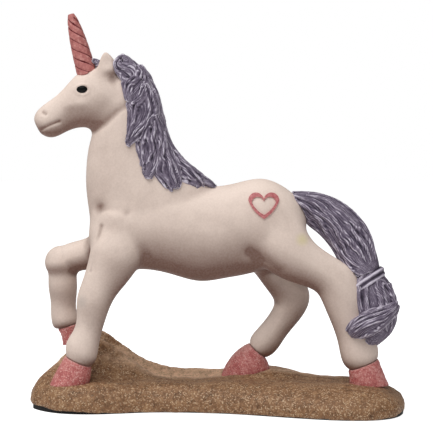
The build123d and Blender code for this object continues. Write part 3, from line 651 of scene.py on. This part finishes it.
class FIGURINE_OT_coat(Operator):
    """Fuses the trunk, ears and legs into one painted skin and parts it again at the glued seams"""
    bl_idname = "figurine.coat"
    bl_label = "Painted coat"

    def execute(self, context):
        settings = context.scene.figurine_coat
        copies = [copy_of(name, "coat " + name) for name in COAT_NODES]
        trees = [tree_of(piece) for piece in copies]
        for piece in copies:
            swell(piece, settings.seam_swell)
        skin = join(copies, "coat skin")
        voxel_remesh(skin, settings.skin_voxel)
        swell(skin, -settings.seam_swell)
        group = skin.vertex_groups.new(name="seams")
        for index, weight in enumerate(seam_weights(places_of(skin), trees, settings.seam_reach)):
            if weight > 0:
                group.add([index], weight, "REPLACE")
        smooth(skin, settings.seam_rounds, vertex_group="seams")
        smooth(skin, SKIN_ROUNDS["coat"])
        press_all(skin, COAT_PRESSES)
        smooth(skin, PRESSED_ROUNDS)
        open_eyes(skin)
        # Brown wash and painted shade, for the paint to read
        set_attribute(skin, "wash_and_shade", wash_and_shade_strength(skin))
        self.part(skin, trees, painted_coat(settings))
        bpy.data.objects.remove(skin)
        return {"FINISHED"}

    def part(self, skin, trees, material):
        """Parts the skin into a closed piece for each moulding, with the skin's own normals at the seams."""
        normals = {key_of(vertex): vertex.normal.copy() for vertex in skin.data.vertices}
        owners = []
        for face in skin.data.polygons:
            apart = [tree.find_nearest(face.center)[3] for tree in trees]
            owners.append(apart.index(min(apart)))
        for number, name in enumerate(COAT_NODES):
            piece = skin.copy()
            piece.data = skin.data.copy()
            piece.name = piece.data.name = name + "_coat"
            bpy.context.scene.collection.objects.link(piece)
            mesh = bmesh.new()
            mesh.from_mesh(piece.data)
            others = [face for face, owner in zip(mesh.faces, owners) if owner != number]
            bmesh.ops.delete(mesh, geom=others, context="FACES")
            mesh.to_mesh(piece.data)
            mesh.free()
            self.close_seams(piece, normals)
            smooth_shade(piece)
            kept = [normals.get(key_of(vertex), vertex.normal) for vertex in piece.data.vertices]
            piece.data.normals_split_custom_set_from_vertices(kept)
            finish_piece(piece, material, "white_coat", name)

    def close_seams(self, piece, normals):
        """Turns each seam's edge inwards and closes it below the skin."""
        activate(piece)
        bpy.ops.object.mode_set(mode="EDIT")
        bpy.ops.mesh.select_mode(type="EDGE")
        bpy.ops.mesh.select_all(action="DESELECT")
        bpy.ops.mesh.select_non_manifold(extend=False, use_wire=False, use_multi_face=False,
                                         use_non_contiguous=False, use_verts=False)
        bpy.ops.mesh.extrude_edges_move()
        bpy.ops.object.mode_set(mode="OBJECT")
        for vertex in piece.data.vertices:
            if vertex.select:
                vertex.co -= normals[key_of(vertex)] * SEAM_TUCK * MM
        bpy.ops.object.mode_set(mode="EDIT")
        bpy.ops.mesh.select_all(action="SELECT")
        bpy.ops.mesh.fill_holes(sides=0)
        bpy.ops.mesh.select_all(action="SELECT")
        bpy.ops.mesh.normals_make_consistent(inside=False)
        bpy.ops.object.mode_set(mode="OBJECT")


# Hair. How many strands lie on each moulding of the mane, the forelock and the tail, and their radius in
# millimetres
HAIR_STRANDS = {
    "mane_lock_poll": (7, 0.75), "mane_lock_cheek": (7, 0.80), "mane_lock_upper": (9, 0.85),
    "mane_lock_middle": (9, 0.85), "mane_lock_lower": (8, 0.85), "mane_lock_withers": (7, 0.75),
    "mane_far_upper": (9, 0.85), "mane_far_middle": (9, 0.85), "mane_far_lower": (9, 0.85),
    "mane_crest": (13, 0.90), "forelock": (6, 0.60), "tail_upper": (22, 1.00), "tail_lower": (20, 0.95),
    "tail_curl": (12, 0.80),
}
CHANCE_SEED = 11

# The line through a lock, and the places along it where its girth is measured. The least half girth is in
# millimetres, and places count as the lock's own up to a share of its length past its ends.
LINE_POINTS = 60
LINE_DEGREE = 3
LINE_ROUNDS = 3
GIRTH_PLACES = 16
LEAST_HALF_GIRTH = 0.3
PAST_END = 0.1

# How strands differ from one another. Starts and ends are shares of the lock's length, shifts are shares of
# the room between two strands, and twists and waves are radians round the lock.
STRAND_POINTS = 14
STRAND_SHIFTS = (-0.25, 0.25)
STRAND_STARTS = (0.0, 0.22)
STRAND_ENDS = (0.80, 1.0)
STRAND_TWISTS = (-0.6, 0.6)
WAVE_REACH = 0.22
WAVE_RATES = (5, 9)
WAVE_STARTS = (0, 6)
STRAND_GIRTHS = (0.8, 1.15)
TAPER_PLACES = [0, 0.15, 0.7, 0.92, 1]
TAPER_GIRTHS = [0.5, 0.9, 1, 0.6, 0.2]

# Half turns of a lock's girth that its strands spread over, where they lie on one side of it
SIDE_SPREAD = 1.16

# Combing: the rounds and depth that tell a ridge, the slow drift of the fine hairs and their own wave, how
# strongly they are brushed, and the share of the lock's run that the strokes follow, which draws them long.
# Lengths are in millimetres.
RIDGE_ROUNDS = 6
RIDGE_DEPTH = 0.22
DRIFT_SIZE = 4.0
DRIFT_REACH = 0.9
COMB_RATE = 15
COMB_REACH = 1.2
HAIR_SHINE = 0.16
STROKE_RUN = 0.10

# Folds of the tie: their spacing and height in millimetres, their wave round the tail in radians, how
# strongly they are brushed, and how far the strokes' pattern runs in millimetres for each radian
FOLD_SPACING = 1.15
FOLD_HEIGHT = 0.22
FOLD_WAVE = 0.8
FOLD_SHINE = 0.42
FOLD_STROKE = 0.4


class Lock:
    """A moulded lock measured along a smooth line, so that strands can be laid on it."""

    def __init__(self, places):
        first = places[np.linalg.norm(places - places.mean(axis=0), axis=1).argmax()]
        second = places[np.linalg.norm(places - first, axis=1).argmax()]
        if first[2] < second[2]:
            first, second = second, first
        shares = np.linspace(0, 1, LINE_POINTS)
        self.line = first + shares[:, None] * (second - first)
        for _ in range(LINE_ROUNDS):
            along = self.measure(places)[0]
            along = (along - along.min()) / (along.max() - along.min())
            self.fits = [np.polyfit(along, places[:, axis], LINE_DEGREE) for axis in range(3)]
            self.line = self.middle(shares)
        along, wide, high = self.measure(places)
        self.length = np.linalg.norm(np.diff(self.line, axis=0), axis=1).sum()
        self.marks = (np.arange(GIRTH_PLACES) + 0.5) / GIRTH_PLACES
        rows = np.clip((along * GIRTH_PLACES).astype(int), 0, GIRTH_PLACES - 1)
        self.half_width = self.widest(wide, rows)
        self.half_height = self.widest(high, rows)

    def widest(self, offsets, rows):
        """How far the lock reaches from its line at each place where its girth is measured."""
        return np.array([np.abs(offsets[rows == row]).max(initial=LEAST_HALF_GIRTH * MM)
                         for row in range(GIRTH_PLACES)])

    def middle(self, share):
        """The line's places at these shares of its length."""
        return np.stack([np.polyval(fit, share) for fit in self.fits], axis=-1)

    def axes(self, share):
        """The lock's direction at a share of its length, and the two directions across it. The second of
        these points to the near side."""
        ways = np.gradient(self.line, axis=0)
        shares = np.linspace(0, 1, LINE_POINTS)
        way = np.stack([np.interp(share, shares, ways[:, axis]) for axis in range(3)], axis=-1)
        way /= np.linalg.norm(way, axis=-1, keepdims=True)
        across = np.cross(way, (0, 1, 0))
        across /= np.maximum(np.linalg.norm(across, axis=-1, keepdims=True), 1e-9)
        return way, across, np.cross(way, across)

    def measure(self, places):
        """Each place's share along the line, and its two offsets across it."""
        steps = np.linalg.norm(np.diff(self.line, axis=0), axis=1)
        starts = np.concatenate([[0], np.cumsum(steps)]) / steps.sum()
        nearest = np.linalg.norm(places[:, None, :] - self.line[None, :, :], axis=2).argmin(axis=1)
        way, across, rise = self.axes(starts[nearest])
        offset = places - self.line[nearest]
        share = starts[nearest] + (offset * way).sum(axis=1) / steps.sum()
        share = np.clip(share, -PAST_END, 1 + PAST_END)
        return share, (offset * across).sum(axis=1), (offset * rise).sum(axis=1)

    def skin_points(self, share, turn, tree):
        """Points on the lock's skin, at these shares of its length and turns round it."""
        _, across, rise = self.axes(share)
        wide = np.cos(turn) * np.interp(share, self.marks, self.half_width)
        high = np.sin(turn) * np.interp(share, self.marks, self.half_height)
        points = self.middle(share) + across * wide[:, None] + rise * high[:, None]
        return [tree.find_nearest(point)[0] for point in points]


def strand_curve(points, radii):
    """A tapering round strand through points, as a mesh."""
    curve = bpy.data.curves.new("strand", "CURVE")
    curve.dimensions = "3D"
    curve.bevel_depth = 1.0
    curve.bevel_resolution = 2
    curve.resolution_u = 3
    curve.use_fill_caps = True
    spline = curve.splines.new("NURBS")
    spline.points.add(len(points) - 1)
    spline.use_endpoint_u = True
    for point, place, radius in zip(spline.points, points, radii):
        point.co = (*place, 1)
        point.radius = radius
    strand = bpy.data.objects.new("strand", curve)
    bpy.context.scene.collection.objects.link(strand)
    activate(strand)
    bpy.ops.object.convert(target="MESH")
    return bpy.context.object


def lay_strands(piece, lock, count, radius, side, chance):
    """Tapering strands along a lock, on one side of it or all round."""
    strands, tree = [], tree_of(piece)
    own_places = np.linspace(0, 1, STRAND_POINTS)
    taper = np.interp(own_places, TAPER_PLACES, TAPER_GIRTHS)
    for number in range(count):
        share = (number + 0.5 + chance.uniform(*STRAND_SHIFTS)) / count
        turn = 2 * math.pi * share
        if side != BOTH:
            turn = -side * math.pi * (0.5 + SIDE_SPREAD * (share - 0.5))
        start, end = chance.uniform(*STRAND_STARTS), chance.uniform(*STRAND_ENDS)
        places = np.linspace(start, end, STRAND_POINTS)
        sway = chance.uniform(*STRAND_TWISTS) * (places - 0.5)
        sway = sway + WAVE_REACH * np.sin(places * chance.uniform(*WAVE_RATES) + chance.uniform(*WAVE_STARTS))
        radii = radius * chance.uniform(*STRAND_GIRTHS) * taper
        strands.append(strand_curve(lock.skin_points(places, turn + sway, tree), radii))
    return strands


class FIGURINE_OT_hair(Operator):
    """Lays strands on the moulded locks of the mane, the forelock and the tail"""
    bl_idname = "figurine.hair"
    bl_label = "Mane and tail"

    def execute(self, context):
        settings = context.scene.figurine_hair
        material = painted_hair(settings)
        chance = np.random.default_rng(CHANCE_SEED)
        for name, (count, radius) in HAIR_STRANDS.items():
            piece = copy_of(name, name + "_hair")
            lock = Lock(places_of(piece))
            side = BOTH
            if name.startswith("mane_lock"):
                side = NEAR
            if name.startswith("mane_far"):
                side = FAR
            swell(piece, -settings.lock_inset)
            strands = lay_strands(piece, lock, count, radius * MM, side, chance)
            piece = join([piece, *strands], name + "_hair")
            voxel_remesh(piece, settings.strand_voxel)
            smooth(piece, SKIN_ROUNDS["hair"])
            self.comb(piece, lock, settings)
            smooth_shade(piece)
            finish_piece(piece, material, "mane_purple", name)
        self.tie(material, settings)
        return {"FINISHED"}

    def comb(self, piece, lock, settings):
        """Draws fine hairs along the strands and marks ridges and grooves for the paint."""
        hollow = hollowness(piece, RIDGE_ROUNDS)
        places, directions = places_of(piece), directions_of(piece)
        along, wide, high = lock.measure(places)
        half_width = np.interp(along, lock.marks, lock.half_width)
        half_height = np.interp(along, lock.marks, lock.half_height)
        turn = np.arctan2(high / half_height, wide / half_width)
        girth = math.pi * (half_width.mean() + half_height.mean())
        drift = np.array([noise.noise(Vector(place) / (DRIFT_SIZE * MM)) for place in places])
        round_place = turn / (2 * math.pi) * girth + drift * DRIFT_REACH * MM
        wave = np.sin(along * COMB_RATE) * COMB_REACH
        hairs = np.sin(round_place / settings.hair_spacing * 2 * math.pi + wave)
        set_places(piece, places + directions * (hairs * settings.hair_depth)[:, None])
        ridge = np.clip(0.5 - hollow / (RIDGE_DEPTH * MM), 0, 1)
        set_attribute(piece, "ridge", np.clip(ridge + HAIR_SHINE * hairs, 0, 1))
        run = along * lock.length * STROKE_RUN
        set_attribute(piece, "flow", np.stack([round_place, run, drift * MM], axis=1))

    def tie(self, material, settings):
        """The flat strand that is wound round the tail, folded along its run."""
        tie = copy_of("tail_tie", "tail_tie_hair")
        voxel_remesh(tie, settings.strand_voxel)
        places, directions = places_of(tie), directions_of(tie)
        offset = places - places.mean(axis=0)
        first, second, axis = np.linalg.svd(offset, full_matrices=False)[2]
        height = offset @ axis
        turn = np.arctan2(offset @ second, offset @ first)
        folds = np.sin(height / (FOLD_SPACING * MM) * math.pi + FOLD_WAVE * np.sin(turn * 2))
        set_places(tie, places + directions * (folds * FOLD_HEIGHT * MM)[:, None])
        set_attribute(tie, "ridge", 0.5 + FOLD_SHINE * folds)
        set_attribute(tie, "flow", np.stack([height, turn * FOLD_STROKE * MM, 0 * turn], axis=1))
        smooth_shade(tie)
        finish_piece(tie, material, "mane_purple", "tail_tie")


# Horn: the rounds and depth that tell a carved groove, and the size and height of its roughness. Lengths are
# in millimetres.
CARVING_ROUNDS = 10
CARVING_DEPTH = 0.05
CHALK_SIZE = 1.1
CHALK_HEIGHT = 0.035


class FIGURINE_OT_horn(Operator):
    """Paints the carved horn, with painted shade in its four spiral grooves"""
    bl_idname = "figurine.horn"
    bl_label = "Horn"

    def execute(self, context):
        settings = context.scene.figurine_horn
        horn = copy_of("horn", "horn_cast")
        voxel_remesh(horn, settings.horn_voxel)
        smooth(horn, SKIN_ROUNDS["horn"])
        # The carved grooves take the painted shade
        carving = hollowness(horn, CARVING_ROUNDS) / (CARVING_DEPTH * MM)
        set_attribute(horn, "groove", np.clip(carving, 0, 1))
        roughen(horn, CHALK_SIZE * MM, CHALK_HEIGHT * MM)
        smooth_shade(horn)
        finish_piece(horn, painted_horn(settings), "horn_pink", "horn")
        return {"FINISHED"}


# Hooves and ground, in millimetres: the size and height of their lumps, and the grit of their paint. The
# height of the ground's large lumps is one of its settings.
HOOF_LUMP_SIZE = 1.2
HOOF_LUMP_HEIGHT = 0.12
HOOF_GRIT = 0.55
GROUND_LUMP_SIZE = 7.0
GROUND_PEBBLE_SIZE = 1.6
GROUND_PEBBLE_HEIGHT = 0.10
GROUND_GRIT = 0.8

# How far up the skin has to face before the painted top light starts, and before it is at its full
HOOF_TOP_LIGHT = (0.45, 0.9)
GROUND_TOP_LIGHT = (0.50, 0.90)

# Millimetres along Y: the ground's near face has no painted top light up to this edge, and the painted top
# light fades in over this width
TOP_LIGHT_EDGE = 1.0
TOP_LIGHT_FADE = 6

# The hollow and the raised rim on the far half of the mound, as the line of (x, z), the radius and the depth,
# in millimetres, and the side
MOUND_PRESSES = {
    "hollow": ([(-42.0, 19.5), (-38.0, 18.5)], 3.4, 1.1, FAR),
    "rim": ([(-44.8, 24.6), (-39.0, 24.8), (-34.5, 21.8), (-30.2, 17.0), (-25.6, 13.0)], 1.1, -0.7, FAR),
}


def mark_painted_top_light(piece, top_light_levels, edge=None):
    """Marks the skin that faces up for the painted top light, and only behind an edge along Y where one is
    given.
    """
    least, full = top_light_levels
    painted_top_light = np.clip((directions_of(piece)[:, 2] - least) / (full - least), 0, 1)
    if edge is not None:
        painted_top_light = painted_top_light * np.clip((places_of(piece)[:, 1] - edge) / (TOP_LIGHT_FADE * MM), 0, 1)
    set_attribute(piece, "painted_top_light", painted_top_light)


class FIGURINE_OT_hooves(Operator):
    """Roughens the four cast hooves and paints them"""
    bl_idname = "figurine.hooves"
    bl_label = "Hooves"

    def execute(self, context):
        settings = context.scene.figurine_hooves
        # The hooves' pale colour also paints their painted top light where they face up
        material = glittered_paint("glittered pink acrylic", dark=settings.hoof_dark,
                                   middle=settings.hoof_colour, pale=settings.hoof_pale_and_top_light,
                                   painted_top_light_colour=settings.hoof_pale_and_top_light, glint=settings.glint_colour, grit=HOOF_GRIT * MM)
        for name in HOOF_NODES:
            hoof = copy_of(name, name + "_cast")
            voxel_remesh(hoof, settings.hoof_voxel)
            smooth(hoof, SKIN_ROUNDS["hoof"])
            roughen(hoof, HOOF_LUMP_SIZE * MM, HOOF_LUMP_HEIGHT * MM)
            # Painted top light where the hoof faces up
            mark_painted_top_light(hoof, HOOF_TOP_LIGHT)
            smooth_shade(hoof)
            finish_piece(hoof, material, "hoof_pink", name)
        return {"FINISHED"}


class FIGURINE_OT_ground(Operator):
    """Roughens the cast ground and paints it"""
    bl_idname = "figurine.ground"
    bl_label = "Ground"

    def execute(self, context):
        settings = context.scene.figurine_ground
        ground = copy_of("ground_casting", "ground_sand")
        voxel_remesh(ground, settings.ground_voxel)
        smooth(ground, SKIN_ROUNDS["ground"])
        press_all(ground, MOUND_PRESSES)
        roughen(ground, GROUND_LUMP_SIZE * MM, settings.lump_height)
        roughen(ground, GROUND_PEBBLE_SIZE * MM, GROUND_PEBBLE_HEIGHT * MM)
        # Painted top light where the ground faces up, behind its near face
        mark_painted_top_light(ground, GROUND_TOP_LIGHT, TOP_LIGHT_EDGE * MM)
        smooth_shade(ground)
        material = glittered_paint("sanded brown acrylic", dark=settings.sand_dark,
                                   middle=settings.sand_colour, pale=settings.sand_pale,
                                   painted_top_light_colour=settings.top_light_colour, glint=settings.glint_colour,
                                   grit=GROUND_GRIT * MM)
        finish_piece(ground, material, "sand_ground", "ground_casting")
        return {"FINISHED"}


class FIGURINE_OT_small_pieces(Operator):
    """Paints the sole, the eyes, the heart and the hidden pins"""
    bl_idname = "figurine.small_pieces"
    bl_label = "Small pieces"

    def execute(self, context):
        settings = context.scene.figurine_small_pieces
        paint_nodes(sole_felt(settings), "sole_pad")
        paint_nodes(gloss_eye(settings), *EYE_NODES)
        paint_nodes(heart_paint(settings), "heart")
        paint_nodes(pin_steel(settings), *PIN_NODES)
        return {"FINISHED"}


# Stage, in metres: the floor, and where the soft boxes stand, how wide they are and what they are aimed at
FLOOR_SIZE = 6.0
KEY_BOX_PLACE = (-0.25, -0.35, 0.85)
FRONT_BOX_PLACE = (0.15, -0.95, 0.45)
BOX_SIZE = 0.9
BOX_AIM = (0, 0, 0.07)
NEAR_CLIP = 0.01


def any_ray(tree, *kinds):
    """One for a ray of any of these kinds."""
    rays = add(tree, "ShaderNodeLightPath").outputs
    seen = rays[kinds[0]]
    for kind in kinds[1:]:
        seen = add(tree, "ShaderNodeMath", {0: seen, 1: rays[kind]}, operation="MAXIMUM")
    return seen


class FIGURINE_OT_stage(Operator):
    """Sets the pale floor, the soft boxes and the camera at the photographed viewpoint"""
    bl_idname = "figurine.stage"
    bl_label = "Stage"

    def execute(self, context):
        settings = context.scene.figurine_stage
        bpy.ops.object.select_all(action="DESELECT")
        bpy.ops.mesh.primitive_plane_add(size=FLOOR_SIZE, location=(0, 0, 0))
        floor = context.object
        floor.name = "floor"
        floor.data.materials.append(self.floor_paint(settings))
        self.light_room(context, settings)
        self.soft_box("key soft box", KEY_BOX_PLACE, settings.key_power)
        self.soft_box("front soft box", FRONT_BOX_PLACE, settings.fill_power)
        self.set_camera(context, settings)
        context.scene.view_settings.view_transform = "Standard"
        return {"FINISHED"}

    def set_camera(self, context, settings):
        camera = bpy.data.objects.new("camera", bpy.data.cameras.new("camera"))
        context.scene.collection.objects.link(camera)
        camera.location = (0, -settings.camera_distance, settings.camera_height)
        aim = Vector((settings.aim_place, 0, settings.aim_height)) - camera.location
        camera.rotation_euler = aim.to_track_quat("-Z", "Y").to_euler()
        camera.data.lens = camera.data.sensor_width * aim.length / settings.picture_width
        camera.data.clip_start = NEAR_CLIP
        context.scene.camera = camera

    def floor_paint(self, settings):
        """White card that keeps the figurine's soft shadow and looks white to the camera and in gloss."""
        material, tree = new_material("white card")
        card = add(tree, "ShaderNodeBsdfDiffuse", {"Color": grey(0.85)})
        glow = add(tree, "ShaderNodeEmission", {"Color": grey(1.0), "Strength": settings.card_glow})
        lit = add(tree, "ShaderNodeAddShader", {0: card, 1: glow})
        seen = any_ray(tree, "Is Camera Ray", "Is Glossy Ray", "Is Transmission Ray")
        shown = add(tree, "ShaderNodeMixShader", {0: seen, 1: card, 2: lit})
        add(tree, "ShaderNodeOutputMaterial", {"Surface": shown})
        return material

    def light_room(self, context, settings):
        """A room that lights the figurine gently and looks white to the camera."""
        world = bpy.data.worlds.new("studio")
        context.scene.world = world
        world.use_nodes = True
        tree = world.node_tree
        tree.nodes.clear()
        white = add(tree, "ShaderNodeBackground", {"Color": grey(1.0), "Strength": 1.0})
        room = add(tree, "ShaderNodeBackground", {"Color": grey(1.0), "Strength": settings.room_light})
        seen = any_ray(tree, "Is Camera Ray", "Is Transmission Ray")
        mixed = add(tree, "ShaderNodeMixShader", {0: seen, 1: room, 2: white})
        add(tree, "ShaderNodeOutputWorld", {"Surface": mixed})

    def soft_box(self, name, place, power):
        lamp = bpy.data.lights.new(name, "AREA")
        lamp.shape = "SQUARE"
        lamp.size = BOX_SIZE
        lamp.energy = power
        box = bpy.data.objects.new(name, lamp)
        bpy.context.scene.collection.objects.link(box)
        box.location = place
        aim = Vector(BOX_AIM) - box.location
        box.rotation_euler = aim.to_track_quat("-Z", "Y").to_euler()


OPERATORS = [FIGURINE_OT_stage, FIGURINE_OT_coat, FIGURINE_OT_hair, FIGURINE_OT_horn, FIGURINE_OT_hooves,
             FIGURINE_OT_ground, FIGURINE_OT_small_pieces]


class FIGURINE_PT_panel(Panel):
    bl_label = "Figurine"
    bl_idname = "FIGURINE_PT_panel"
    bl_space_type = "VIEW_3D"
    bl_region_type = "UI"
    bl_category = "Figurine"

    def draw(self, context):
        for operator in OPERATORS:
            self.layout.operator(operator.bl_idname)


CLASSES = [*SETTINGS.values(), *OPERATORS, FIGURINE_PT_panel]


def register():
    for item in CLASSES:
        bpy.utils.register_class(item)
    for name, group in SETTINGS.items():
        setattr(bpy.types.Scene, name, PointerProperty(type=group))


def unregister():
    for name in SETTINGS:
        delattr(bpy.types.Scene, name)
    for item in reversed(CLASSES):
        bpy.utils.unregister_class(item)


def main():
    register()
    for operator in OPERATORS:
        call = getattr(bpy.ops.figurine, operator.bl_idname.split(".")[1])
        if call() != {"FINISHED"}:
            raise RuntimeError(operator.bl_label + " didn't finish")


if __name__ == "__main__":
    main()
